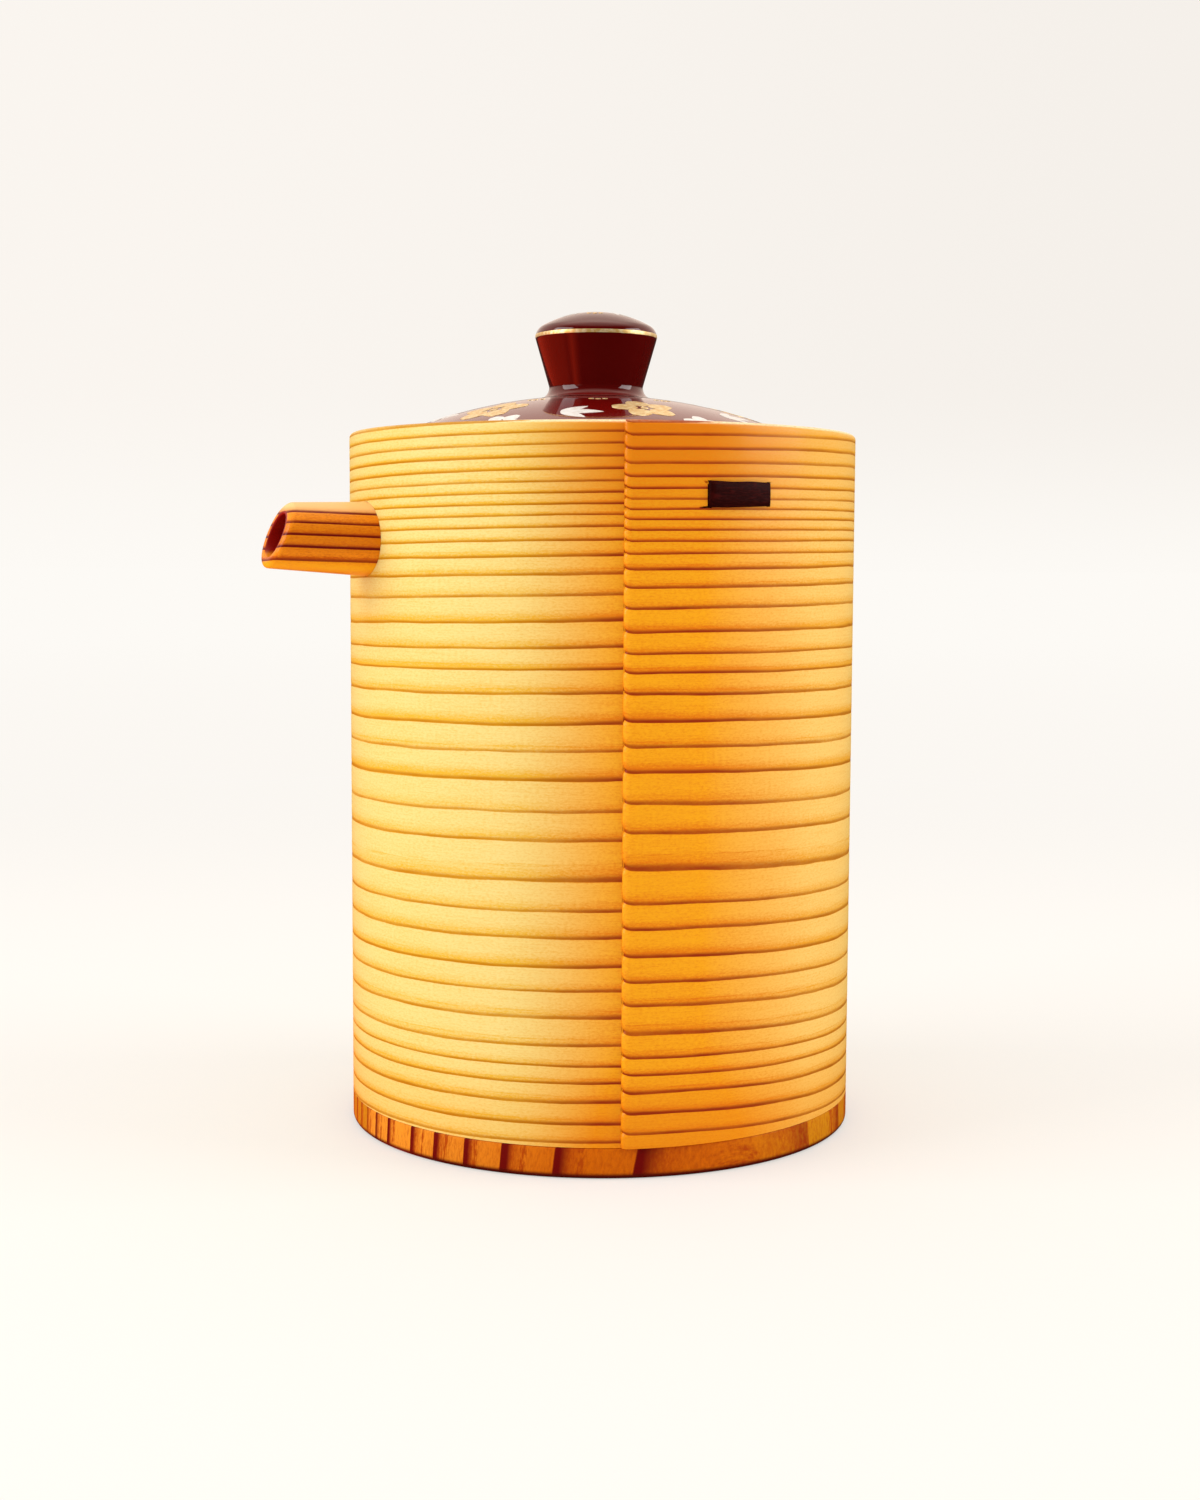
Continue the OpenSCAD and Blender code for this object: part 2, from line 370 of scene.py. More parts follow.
def count_rings(along, depth, inward):
    """The growth ring at a place in the board, in millimetres. The rings per millimetre are most
    near the rim and least in the middle, and the rings drift up and down along the board."""
    at_rim = 1.0 - depth.rise(5.0, 60.0)
    at_foot = depth.rise(70.0, 105.0)
    to_front = along.ramp(0.0, FRONT_RUN)
    past_front = along.ramp(FRONT_RUN, ROUND_RUN)
    drift = (to_front * 0.4 + past_front * 0.6 - 1.0) * 1.25 * at_rim
    drift = drift - (1.0 - along.ramp(60.0, 260.0)) * 0.5 * (depth.ramp(1.0, 21.5) * pi).unary("SINE")
    drift = drift + (1.0 - along.rise(0.0, 60.0)) * (0.25 + at_foot * 0.25) * (1.0 - at_rim)
    drift = drift - (past_front * pi).unary("SINE") * 0.25 + depth.rise(113.0, 117.0) * 0.12
    depth = depth + inward * RING_TILT
    count = depth * RINGS_NEAR_RIM - soft_corner(depth, 22.0, 2.7) * (RINGS_NEAR_RIM - RINGS_MIDDLE)
    count = count + soft_corner(depth, 102.7, 0.5) * (RINGS_NEAR_FOOT - RINGS_MIDDLE) - 0.39
    for size, period, start in ((-0.294, 60.0, 5.39), (0.062, 13.0, -0.12), (0.065, 23.0, 2.43)):
        count = count + (depth * (2 * pi / period) + start).unary("SINE") * size
    return count + drift


def lap_face(turn):
    """Distance from the axis to the board's outer face, at an angle past the lap's outer end."""
    left = (LAP_ANGLE - turn).at_least(0.0)
    across = LAP_BACK * left.unary("SINE")
    return ((BODY_RADIUS + LAP_BACK) ** 2 - across * across).unary("SQRT") - LAP_BACK * left.unary("COSINE")


def glue_face(turn):
    """Distance from the axis to the slanted glue line between the lap's two layers."""
    return BODY_RADIUS - WALL * (turn / LAP_ANGLE).at_most(1.0)


def board_place(tree):
    """Where a point lies in the flat board, in millimetres: along it, down it and into it."""
    x, y, z = tree.here()
    radius = (x * x + y * y).unary("SQRT") * MM
    turn = ((tree.math("ARCTAN2", y, x) - LAP_START) / (2 * pi)).unary("FRACT") * (2 * pi)
    beneath = (turn < LAP_ANGLE) * (radius < glue_face(turn) - 0.01 * MM)
    along = (turn + beneath * (2 * pi)) * (BODY_RADIUS * 1000)
    inward = (lap_face(turn) - radius) * 1000.0
    return along, RIM_HEIGHT * 1000 - z, inward


def new_group(name, **inputs):
    """A geometry node group with inputs named by kind, and one mesh out."""
    group = bpy.data.node_groups.new(name, "GeometryNodeTree")
    for kind, labels in inputs.items():
        for label in labels:
            group.interface.new_socket(label, in_out="INPUT", socket_type="NodeSocket" + kind)
    group.interface.new_socket("Mesh", in_out="OUTPUT", socket_type="NodeSocketGeometry")
    tree = Tree(group)
    entry = group.nodes.new("NodeGroupInput")
    given = {label: Wire(tree, entry.outputs[label]) for labels in inputs.values() for label in labels}
    return group, tree, given


def close_group(tree, geometry, material):
    """Ends a group: real instances, the material, and the way out."""
    real = tree.add("GeometryNodeRealizeInstances", {}, {"Geometry": geometry})
    dressed = tree.add("GeometryNodeSetMaterial", {}, {"Geometry": real, "Material": material})
    tree.add("NodeGroupOutput", {}, {0: dressed})


def grown(name, group, values):
    """Runs a group with these values for its inputs and keeps the result as a plain mesh."""
    piece = in_scene(name, bpy.data.meshes.new(name))
    modifier = piece.modifiers.new("shape", "NODES")
    modifier.node_group = group
    for item in group.interface.items_tree:
        if item.in_out == "INPUT" and item.name in values:
            modifier[item.identifier] = values[item.name]
    view = bpy.context.evaluated_depsgraph_get()
    view.update()
    result = bpy.data.meshes.new_from_object(piece.evaluated_get(view))
    piece.modifiers.remove(modifier)
    piece.data = result
    result.name = name
    return smoothed(piece, 35.0)


def corner_drop(part):
    """How far a quarter round has dropped, from 0 to 1, at its share of the way."""
    return 1.0 - (1.0 - part * part).unary("SQRT")


# What the board group is given: lengths in metres, and how many rows and columns its grid has.
BOARD_LENGTHS = {
    "Rim height": RIM_HEIGHT, "Foot height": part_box("side_board")[0].z, "Rim rounding": 0.9 * MM,
    "End rounding": 0.85 * MM, "End ease": 1.5 * MM, "End run": 2.2 * MM, "Glue gap": 0.02 * MM,
    "Groove": 0.04 * MM, "End groove": 0.2 * MM, "Notch": 0.42 * MM,
}
BOARD_COUNTS = {"Face rows": 280, "Top rows": 14, "Columns": 146, "End columns": 8}


def bent_board_group():
    group, tree, given = new_group(
        "bent board", Float=BOARD_LENGTHS, Int=BOARD_COUNTS, Object=("Holes",), Material=("Material",)
    )
    rim, foot = given["Rim height"], given["Foot height"]
    face_rows, top_rows = given["Face rows"], given["Top rows"]
    columns, end_columns = given["Columns"], given["End columns"]
    rows = face_rows * 2.0 + top_rows + 1.0

    counts = {"Vertices X": columns, "Vertices Y": rows}
    grid = tree.add("GeometryNodeMeshGrid", {}, {"Size X": 1.0, "Size Y": 1.0, **counts})
    x, y, _ = tree.point()
    column = ((x + 0.5) * (columns - 1.0)).unary("ROUND")
    row = ((y + 0.5) * (rows - 1.0)).unary("ROUND")

    # Each column is a place along the board: a few close together at the rounded end, then even.
    end_run = given["End run"]
    pitch = (BODY_RADIUS * (LAP_ANGLE + 2 * pi) - end_run) / (columns - 2.0 - end_columns)
    step = (column - 1.0).at_least(0.0)
    run = end_run * (step.at_most(end_columns) / end_columns) ** 2.0
    run = run + (step - end_columns).at_least(0.0) * pitch
    turn = run / BODY_RADIUS
    beneath = turn > 2 * pi - 1e-4
    lap_turn = turn - beneath * (2 * pi)
    face = lap_face(lap_turn)
    glue = glue_face(lap_turn)
    left_over = (1.0 - run / given["End ease"]).at_least(0.0)
    shown = face - given["End rounding"] * corner_drop(left_over)
    hidden = (glue - given["Glue gap"]).at_least(BODY_RADIUS - WALL)
    outside = shown + (hidden - shown) * beneath
    inside = BODY_RADIUS - WALL + (glue - BODY_RADIUS + WALL) * (1.0 - beneath)
    capped = column < 0.5
    middle = (outside + inside) * 0.5
    outside = outside + (middle - outside) * capped
    inside = inside + (middle - inside) * capped

    # Each row is a place round the board's section: up the outside, over the rim, down the inside.
    up = (row / (face_rows - 1.0)).at_most(1.0)
    over = ((row - face_rows + 1.0) / (top_rows + 1.0)).at_least(0.0).at_most(1.0)
    down = ((row - face_rows - top_rows) / (face_rows - 1.0)).at_least(0.0).at_most(1.0)
    under = (row - rows + 2.0).at_least(0.0)
    across = 0.5 - (over * pi).unary("COSINE") * 0.5
    place = outside + (inside - outside) * across
    place = place + (outside - place) * under
    rounding = given["Rim rounding"]
    top = rim
    for from_face in (face - place, place - (BODY_RADIUS - WALL)):
        part = (1.0 - from_face / rounding).at_least(0.0).at_most(1.0)
        top = top - rounding * corner_drop(part)
    height = foot + up * (1.0 - down) * (top - foot)

    # The dark lines of late wood sink to fine grooves and notch the board's pared end.
    ring = count_rings(run * 1000.0, (rim - height) * 1000.0, (face - place) * 1000.0)
    to_line = abs((ring + 0.56).unary("FRACT") - 0.5)
    groove = (1.0 - to_line / 0.22).at_least(0.0) ** 2.0
    on_face = (1.0 - over.at_most(0.01) * 100.0) * (1.0 - beneath) * (1.0 - capped) * row.at_most(1.0)
    near_end = (1.0 - run / end_run).at_least(0.0) * (1.0 - beneath)
    place = place - (given["Groove"] + given["End groove"] * near_end) * groove * on_face
    heading = LAP_START + (run + given["Notch"] * groove * near_end) / BODY_RADIUS

    point = tree.join(place * heading.unary("COSINE"), place * heading.unary("SINE"), height)
    bent = tree.moved(grid, point)
    joined = tree.add("GeometryNodeMergeByDistance", {}, {"Geometry": bent, "Distance": 1e-6})
    cut = tree.add(
        "GeometryNodeMeshBoolean",
        {"operation": "DIFFERENCE", "solver": "MANIFOLD"},
        {"Mesh 1": joined, "Mesh 2": tree.shape_of(given["Holes"])},
    )
    close_group(tree, cut, given["Material"])
    return group


CEDAR_PALE = (0.91, 0.70, 0.245)
CEDAR_AMBER = (0.965, 0.40, 0.006)
CEDAR_LATE_PALE = (0.85, 0.47, 0.03)
CEDAR_LATE_AMBER = (0.80, 0.185, 0.0)
CEDAR_LINE_PALE = (0.56, 0.215, 0.0)
CEDAR_LINE_AMBER = (0.31, 0.025, 0.0)
CEDAR_DARK_TOP = (0.62, 0.17, 0.002)
CEDAR_RIM_HIGHLIGHT = (1.0, 0.84, 0.50)


def side_wood(tree):
    """About the lap the wood is a deeper orange, and it pales away from it: partly the board's own tone
    and partly painted shade on the front, where less light falls.
    """
    along, depth, inward = board_place(tree)
    ring = count_rings(along, depth, inward)
    x, y, _ = tree.here()
    from_lap = tree.math("ARCTAN2", y, x) * (180 / pi) + 103.0
    # The deeper orange about the lap is partly painted shade.
    amber_and_shade = 1.0 - from_lap.ramp(8.0, 38.0) * 0.58 - from_lap.ramp(38.0, 75.0) * 0.16
    amber_and_shade = amber_and_shade - from_lap.rise(75.0, 150.0) * 0.26
    amber_and_shade = amber_and_shade * from_lap.rise(-36.0, -6.0)
    # Near the foot the colour is painted darker, as painted shade over the base; near the rim it is darker
    # too.
    amber_and_shade = (amber_and_shade + depth.rise(98.0, 118.0) * 0.2).at_most(1.0)
    near_edge = depth.rise(100.0, 118.0) * 0.5 + (1.0 - depth.rise(0.0, 16.0)) * 0.8
    near_edge = near_edge * (0.12 + amber_and_shade * 0.88)
    late = tree.blend(amber_and_shade, CEDAR_LATE_PALE, CEDAR_LATE_AMBER)
    early = tree.blend(near_edge, tree.blend(amber_and_shade, CEDAR_PALE, CEDAR_AMBER), late)
    line = tree.blend(amber_and_shade, CEDAR_LINE_PALE, CEDAR_LINE_AMBER)
    # Darker towards the rim about the lap.
    early = tree.blend((1.0 - depth.rise(6.0, 30.0)) * amber_and_shade * 0.4, early, CEDAR_DARK_TOP)
    # The rim's rounding is painted pale: a painted highlight.
    early = tree.blend(1.0 - depth.rise(0.15, 0.6), early, CEDAR_RIM_HIGHLIGHT)
    share = 0.155 + amber_and_shade * 0.03 - depth.rise(12.0, 34.0) * 0.07 + depth.rise(96.0, 106.0) * 0.025
    return cedar_finish(tree, ring, (along, depth, inward), early, late, line, share)


cedar_material = new_material(
    "side cedar", side_wood, Coat_Weight=0.25, Coat_Roughness=0.2, Specular_IOR_Level=0.06
)


def add_box(mesh, low, high, placing):
    """Adds a box between two corners, placed by a matrix."""
    size = [b - a for a, b in zip(low, high)]
    middle = [(a + b) / 2 for a, b in zip(low, high)]
    matrix = placing @ Matrix.Translation(middle) @ Matrix.Diagonal((*size, 1.0))
    bmesh.ops.create_cube(mesh, size=1.0, matrix=matrix)


def board_holes():
    """What is cut out of the side board: the spout's hole, and two slots with their knife cuts."""
    mesh = bmesh.new()
    radius = SPOUT_ROOT_RADIUS + GLUE_LINE
    bmesh.ops.create_cone(
        mesh, cap_ends=True, segments=96, depth=6 * WALL, radius1=radius, radius2=radius, matrix=SPOUT_AXIS
    )
    stitch = Matrix.Rotation(STITCH_HEADING, 4, "Z") @ Matrix.Translation((0.0, 0.0, STITCH_HEIGHT))
    half_width = BARK_WIDTH / 2 + SLOT_PLAY
    half = BARK_THICKNESS / 2 + SLOT_PLAY
    for side, lift in ((-1, 0.0), (1, 0.4 * MM)):
        middle = side * (STITCH_LENGTH - BARK_THICKNESS) / 2
        low = (BODY_RADIUS - 2 * WALL, middle - half, -half_width + lift)
        add_box(mesh, low, (BODY_RADIUS + WALL, middle + half, half_width), stitch)
    slot_edge = -STITCH_LENGTH / 2 - SLOT_PLAY
    upper_cut = (half_width - 0.35 * MM, 0.6 * MM, -0.3)
    lower_cut = (-half_width + 0.16 * MM, 1.4 * MM, 0.1)
    for height, run, lean in (upper_cut, lower_cut):
        cut = stitch @ Matrix.Translation((BODY_RADIUS, slot_edge, height)) @ Matrix.Rotation(lean, 4, "X")
        add_box(mesh, (-0.3 * MM, -run, -KNIFE_WIDTH / 2), (WALL, 0.3 * MM, KNIFE_WIDTH / 2), cut)
    return from_bmesh("holes", mesh)


holes = board_holes()
board_values = {**BOARD_LENGTHS, **BOARD_COUNTS, "Holes": holes, "Material": cedar_material}
side_board = grown("side_board_hoop", bent_board_group(), board_values)
bpy.data.objects.remove(holes)
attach(side_board, "vessel")
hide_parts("side_board")


# ----------------------------------------------------------------------
# The bark stitch. A strip of dark cherry bark, drawn through two knife-cut slots in the lap and
# closed on the inside. It ties the lap as well as the glue does, and is the vessel's only stitch.

BARK_PLAY = 0.1 * MM
BARK_FOLD = 0.42 * MM
BARK_STEPS = 26
BARK_CORNER_STEPS = 6
BARK_EDGE = 0.15 * MM
BARK_EDGE_SHARE = 0.55
BARK_CROWN = 0.06 * MM
BARK_WAVE = 0.05 * MM


def bark_path():
    """The strip's closed centre line at the lap, as (sideways, outwards) with its outward normal."""
    half = (STITCH_LENGTH - BARK_THICKNESS) / 2
    turn = LAP_ANGLE / 2
    left = LAP_BACK * sin(LAP_ANGLE - turn)
    face = sqrt((BODY_RADIUS + LAP_BACK) ** 2 - left**2) - LAP_BACK * cos(LAP_ANGLE - turn)
    slope = left / (BODY_RADIUS + LAP_BACK)
    outer = face + BARK_PLAY + BARK_THICKNESS / 2
    inner = BODY_RADIUS - WALL - BARK_PLAY - BARK_THICKNESS / 2
    path = []
    for i in range(BARK_STEPS + 1):
        across = (half - BARK_FOLD) * (2 * i / BARK_STEPS - 1)
        path.append((across, outer - across**2 / 2 / outer - across * slope, 0.0, 1.0))
    sag = half**2 / 2 / BODY_RADIUS
    # Each corner: its place, the way to its fold's centre, and where its turn of 90 degrees starts.
    corners = (
        (half, outer - sag - half * slope, -1, -1, 90),
        (half, inner - sag, -1, 1, 0),
        (-half, inner - sag, 1, 1, -90),
        (-half, outer - sag + half * slope, 1, -1, -180),
    )
    for across, out, aside, inwards, start in corners:
        for i in range(BARK_CORNER_STEPS + 1):
            angle = radians(start - 90 * i / BARK_CORNER_STEPS)
            normal = (cos(angle), sin(angle))
            place = (across + BARK_FOLD * (aside + normal[0]), out + BARK_FOLD * (inwards + normal[1]))
            path.append((*place, *normal))
        if start == 0:
            for i in range(1, BARK_STEPS):
                back = (half - BARK_FOLD) * (1 - 2 * i / BARK_STEPS)
                path.append((back, inner - back**2 / 2 / inner, 0.0, -1.0))
    return path[:-1]


def closed_tube(mesh, rings):
    """Faces between rings of points that follow one another and come back to the first."""
    for ring, following in zip(rings, rings[1:] + rings[:1]):
        for i in range(len(ring)):
            j = (i + 1) % len(ring)
            mesh.faces.new((ring[i], following[i], following[j], ring[j]))
    bmesh.ops.recalc_face_normals(mesh, faces=mesh.faces)
    return mesh


def bark_strip():
    """The strip is thin at both edges, crowned outside, and narrower and wavy towards one end."""
    mesh = bmesh.new()
    half = BARK_THICKNESS / 2
    placing = Matrix.Rotation(STITCH_HEADING, 4, "Z") @ Matrix.Translation((0.0, 0.0, STITCH_HEIGHT))
    shares = (BARK_EDGE_SHARE, 1.0, 1.0, 1.0, 1.0, BARK_EDGE_SHARE)
    rings = []
    for across, out, side, outward in bark_path():
        lower = -BARK_WIDTH / 2 + 0.55 * MM * max(0.0, across / STITCH_LENGTH + 0.3) ** 1.3
        upper = BARK_WIDTH / 2 + sin(across * 900.0) * BARK_WAVE * (outward > 0)
        heights = (lower, lower + BARK_EDGE, -BARK_WIDTH / 6, BARK_WIDTH / 6, upper - BARK_EDGE, upper)
        outline = list(zip(heights, shares))
        section = [(height, half * share - BARK_CROWN * (height / upper) ** 2) for height, share in outline]
        section += [(height, -half * share) for height, share in reversed(outline)]
        places = [Vector((out + outward * lift, across + side * lift, height)) for height, lift in section]
        rings.append([mesh.verts.new(placing @ place) for place in places])
    return closed_tube(mesh, rings)


def bark(tree):
    """Smooth, almost black bark with fine cross lines and a few rust-red patches."""
    x, y, z = tree.here()
    across = y * cos(STITCH_HEADING) - x * sin(STITCH_HEADING)
    out = x * cos(STITCH_HEADING) + y * sin(STITCH_HEADING)
    lines = tree.noise((across, out, z), (0.7, 2.0, 6.0), 3.0, 0.6)
    patch = tree.noise((across + 14.6, out, z), (0.5, 0.5, 0.8))
    colour = tree.blend(lines.rise(0.45, 0.75), (0.020, 0.0010, 0.0008), (0.045, 0.0025, 0.0015))
    colour = tree.blend(patch.rise(0.55, 0.75) * 0.7, colour, (0.06, 0.003, 0.002))
    bump = tree.bump(lines + patch * 1.5, 0.4, 0.15 * MM)
    return {"Base Color": colour, "Roughness": 0.3 + lines * 0.25, "Normal": bump}


bark_material = new_material("cherry bark", bark, Specular_IOR_Level=0.04)
bark_stitch = finished("bark_strip", bark_strip(), bark_material, sharp=50.0)
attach(bark_stitch, "vessel")
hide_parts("bark_stitch")


# ----------------------------------------------------------------------
# The lid ledge. A hoop of the same pale cedar, glued inside the mouth a little below the rim,
# with its edges eased. The loose lid rests on its top.

LEDGE_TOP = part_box("lid_ledge")[1].z
LEDGE_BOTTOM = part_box("lid_ledge")[0].z
LEDGE_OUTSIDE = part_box("lid_ledge")[1].x
LEDGE_INSIDE = BODY_RADIUS - WALL - 4.6 * MM
LEDGE_EASE = 0.4 * MM


def ledge_wood(tree):
    x, y, z = tree.here()
    radius = (x * x + y * y).unary("SQRT")
    along = tree.math("ARCTAN2", y, x) * 39.0
    ring = z * 0.42 + (along * 0.03).unary("SINE") * 0.25 + radius * 0.31
    return cedar_finish(tree, ring, (along, z, radius), CEDAR_PALE, CEDAR_LATE_PALE, CEDAR_LINE_PALE)


ledge_outline = arc(LEDGE_INSIDE + LEDGE_EASE, LEDGE_BOTTOM + LEDGE_EASE, LEDGE_EASE, 180, 270, 4)
ledge_outline += [(LEDGE_OUTSIDE, LEDGE_BOTTOM), (LEDGE_OUTSIDE, LEDGE_TOP)]
ledge_outline += arc(LEDGE_INSIDE + LEDGE_EASE, LEDGE_TOP - LEDGE_EASE, LEDGE_EASE, 90, 180, 4)
ledge_material = new_material(
    "ledge cedar", ledge_wood, Coat_Weight=0.08, Coat_Roughness=0.2, Specular_IOR_Level=0.08
)
lid_ledge = turned("lid_ledge_hoop", ledge_outline, ledge_material, closed=True)
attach(lid_ledge, "vessel")
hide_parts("lid_ledge")


# ----------------------------------------------------------------------
# The spout. Turned and bored from red cedar heartwood, with five dark rings across it and a top
# painted pale as top light, tenoned and glued through the side board. Its mouth is cut on a slant and rubbed
# round.

SPOUT_LENGTH = 18.0 * MM
SPOUT_TIP_RADIUS = 5.45 * MM
SPOUT_BORE_RADIUS = 3.6 * MM
SPOUT_INNER_END = -WALL - 1.0 * MM
MOUTH_SLANT = radians(20.0)
LIP_ROUNDING = 1.1 * MM
BORE_ROUNDING = 0.4 * MM
TUBE_END_EASE = 0.3 * MM
SPOUT_STEPS = 120
WALL_STEPS = 12
MOUTH_STEPS = 16


def mouth_along(radius, angle):
    """How far out the slanted, rounded mouth is, at a distance from the tube's axis and an angle."""
    drop = 0.0
    from_lip, from_bore = SPOUT_TIP_RADIUS - radius, radius - SPOUT_BORE_RADIUS
    for gap, rounding in ((from_lip, LIP_ROUNDING), (from_bore, BORE_ROUNDING)):
        part = max(0.0, 1.0 - gap / rounding)
        drop += rounding * (1.0 - sqrt(max(0.0, 1.0 - part * part)))
    return SPOUT_LENGTH - (radius * cos(angle) + SPOUT_TIP_RADIUS) * tan(MOUTH_SLANT) - drop


def spout_section(angle):
    """The tube's wall at an angle, as distances from its axis and out from the board."""
    inner_edge = SPOUT_INNER_END + TUBE_END_EASE
    section = [(SPOUT_ROOT_RADIUS - TUBE_END_EASE, SPOUT_INNER_END)]
    section += [(SPOUT_ROOT_RADIUS, inner_edge), (SPOUT_ROOT_RADIUS, 0.0)]
    end = mouth_along(SPOUT_TIP_RADIUS, angle)
    slope = (SPOUT_TIP_RADIUS - SPOUT_ROOT_RADIUS) / SPOUT_LENGTH
    for step in range(1, WALL_STEPS + 1):
        along = end * step / WALL_STEPS
        section.append((SPOUT_ROOT_RADIUS + slope * along, along))
    spare = SPOUT_ROOT_RADIUS + slope * end - SPOUT_TIP_RADIUS
    lip = SPOUT_TIP_RADIUS - SPOUT_BORE_RADIUS
    for step in range(1, MOUTH_STEPS + 1):
        share = 0.5 - 0.5 * cos(pi * step / MOUTH_STEPS)
        radius = SPOUT_TIP_RADIUS - lip * share
        section.append((radius + spare * (1 - share) ** 2, mouth_along(radius, angle)))
    bore_end = mouth_along(SPOUT_BORE_RADIUS, angle)
    section += [(SPOUT_BORE_RADIUS, bore_end * (1 - step / WALL_STEPS)) for step in range(1, WALL_STEPS + 1)]
    section += [(SPOUT_BORE_RADIUS, inner_edge), (SPOUT_BORE_RADIUS + TUBE_END_EASE, SPOUT_INNER_END)]
    return section


def spout_tube():
    mesh = bmesh.new()
    columns = []
    for step in range(SPOUT_STEPS):
        angle = 2 * pi * step / SPOUT_STEPS
        column = [Vector((r * cos(angle), r * sin(angle), along)) for r, along in spout_section(angle)]
        columns.append([mesh.verts.new(SPOUT_AXIS @ place) for place in column])
    return closed_tube(mesh, columns)


SPOUT_EARLY = (0.95, 0.29, 0.006)
SPOUT_EARLY_MIDDLE = (0.80, 0.225, 0.0)
SPOUT_EARLY_LOW = (1.0, 0.42, 0.006)
SPOUT_LATE = (0.60, 0.10, 0.0)
SPOUT_LINE = (0.16, 0.003, 0.0)
SPOUT_BORE_SHADE = (0.31, 0.005, 0.002)
SPOUT_LIT_TOP = (1.0, 0.60, 0.22)
SPOUT_RING_WIDTH = 1.99


def spout_wood(tree):
    """The rings cross the tube almost level, and its top is painted pale as top light. It is darker
    half-way down and lighter below. The bore is painted dark as shade, except its floor, and the
    painted shade runs a little over the lip."""
    x, y, z = tree.here()
    outward = x + BODY_RADIUS * 1000
    below = SPOUT_HEIGHT * 1000 - z - outward * sin(SPOUT_RISE)
    ring = below / SPOUT_RING_WIDTH - outward * 0.004 + y * y * 0.004 - y * 0.02 + 0.75
    # The pale top is painted top light.
    under_lit_top = below.rise(-5.2, -3.6)
    early = tree.blend(below.rise(-3.0, -1.0), SPOUT_EARLY, SPOUT_EARLY_MIDDLE)
    early = tree.blend(below.rise(1.5, 3.3), early, SPOUT_EARLY)
    early = tree.blend(under_lit_top, SPOUT_LIT_TOP, tree.blend(below.rise(3.6, 5.0), early, SPOUT_EARLY_LOW))
    late = tree.blend(under_lit_top, SPOUT_LIT_TOP, tree.blend(below.rise(3.9, 5.2), SPOUT_LATE, SPOUT_EARLY))
    # The lines fade out on the painted lit top.
    hardness = 1.25 * below.rise(-4.9, -4.3) * (1.0 - below.rise(5.0, 5.5))
    hardness = hardness * (1.0 - below.rise(3.0, 3.8) * 0.4)
    finish = cedar_finish(tree, ring, (x, z, y), early, late, SPOUT_LINE, 0.17, 0.8, hardness)
    # The bore is painted dark as shade inside the tube, except its lit floor.
    spread = (-y).at_least(0.0) * 0.12 + (-below).at_least(0.0) * 0.1
    from_axis = (below * below + y * y).unary("SQRT") - spread
    bore_shade = (1.0 - from_axis.rise(3.64, 3.8)) * (1.0 - below.rise(2.3, 3.4))
    finish["Base Color"] = tree.blend(bore_shade, finish["Base Color"], SPOUT_BORE_SHADE)
    return finish


spout_material = new_material(
    "spout cedar", spout_wood, Coat_Weight=0.3, Coat_Roughness=0.18, Specular_IOR_Level=0.06
)
spout = finished("spout_tube", spout_tube(), spout_material, sharp=40.0)
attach(spout, "vessel")
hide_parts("spout")


# ----------------------------------------------------------------------
# The lid. A thin wooden dome, turned with a flat seat and a locating collar, and lacquered a deep
# glossy maroon all over. It lies loose in the mouth, a little off the middle.

LID_SHIFT = 1.2 * MM
LID_CENTRE = (LID_SHIFT * cos(radians(153)), LID_SHIFT * sin(radians(153)))
LID_SEAT = LEDGE_TOP
LID_RADIUS = BODY_RADIUS - WALL - 1.6 * MM
LID_EDGE = 2.6 * MM
DOME_RADIUS = 91.0 * MM
DOME_THICKNESS = 4.0 * MM
DOME_CENTRE = LID_SEAT + LID_EDGE - sqrt(DOME_RADIUS**2 - LID_RADIUS**2)
CROWN = DOME_CENTRE + DOME_RADIUS
COLLAR_RADIUS = LEDGE_INSIDE - 1.7 * MM
COLLAR_WALL = 2.0 * MM
COLLAR_BOTTOM = LID_SEAT - 4.0 * MM
TENON_RADIUS = 3.5 * MM
TENON_LENGTH = 3.0 * MM
COLLAR_EASE = 0.4 * MM
RIM_EASE = 0.6 * MM
RIM_DROP = 0.42 * MM


def dome_height(radius, thickness=0.0):
    return DOME_CENTRE + sqrt((DOME_RADIUS + thickness) ** 2 - radius**2)


def lacquer(tree):
    """Many rubbed coats: deep colour, a hard clear surface and the faintest brush waviness."""
    x, y, z = tree.here()
    cloud = tree.noise((x, y, z), 0.06, 1.0)
    colour = tree.blend(cloud, (0.072, 0.0006, 0.0003), (0.098, 0.001, 0.0005))
    # Below the knob's crown the red is painted brighter: painted top light on the dome.
    dome_painted_light = 1.0 - z.rise(CROWN * 1000 - 0.8, CROWN * 1000 + 1.2)
    colour = tree.blend(dome_painted_light, colour, (0.15, 0.002, 0.001))
    bump = tree.bump(tree.noise((x, y, z), 0.22, 1.0), 0.12, 0.12 * MM)
    return {"Base Color": colour, "Roughness": 0.16 + cloud * 0.06, "Normal": bump}


lacquer_material = new_material(
    "maroon lacquer", lacquer, Coat_Weight=1.0, Coat_Roughness=0.03, Specular_IOR_Level=0.02
)

